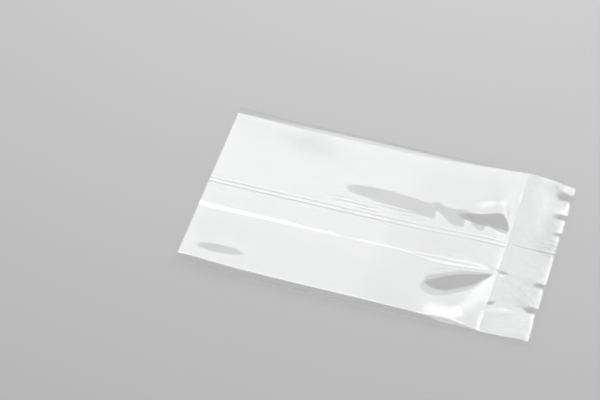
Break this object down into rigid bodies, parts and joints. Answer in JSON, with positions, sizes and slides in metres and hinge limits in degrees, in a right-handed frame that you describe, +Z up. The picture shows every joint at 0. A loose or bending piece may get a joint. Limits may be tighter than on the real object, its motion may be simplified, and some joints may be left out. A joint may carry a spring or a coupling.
{
  "type": "clear film bag",
  "caption": "Flat clear film bag with a lapped seam along its upper face, a wide crimped seal at one end and a low open mouth at the other.",
  "frame": {"origin": "middle of the bag's box, on the surface it lies on", "axes": "+X from the open mouth to the sealed end, +Y to the far side fold, +Z up"},
  "size_m": [0.1224, 0.0722, 0.005],
  "materials": {
    "film": "clear gloss, hazed where it is crimped"
  },
  "bodies": {
    "root": {"bag_film": "film"}
  },
  "joints": []
}
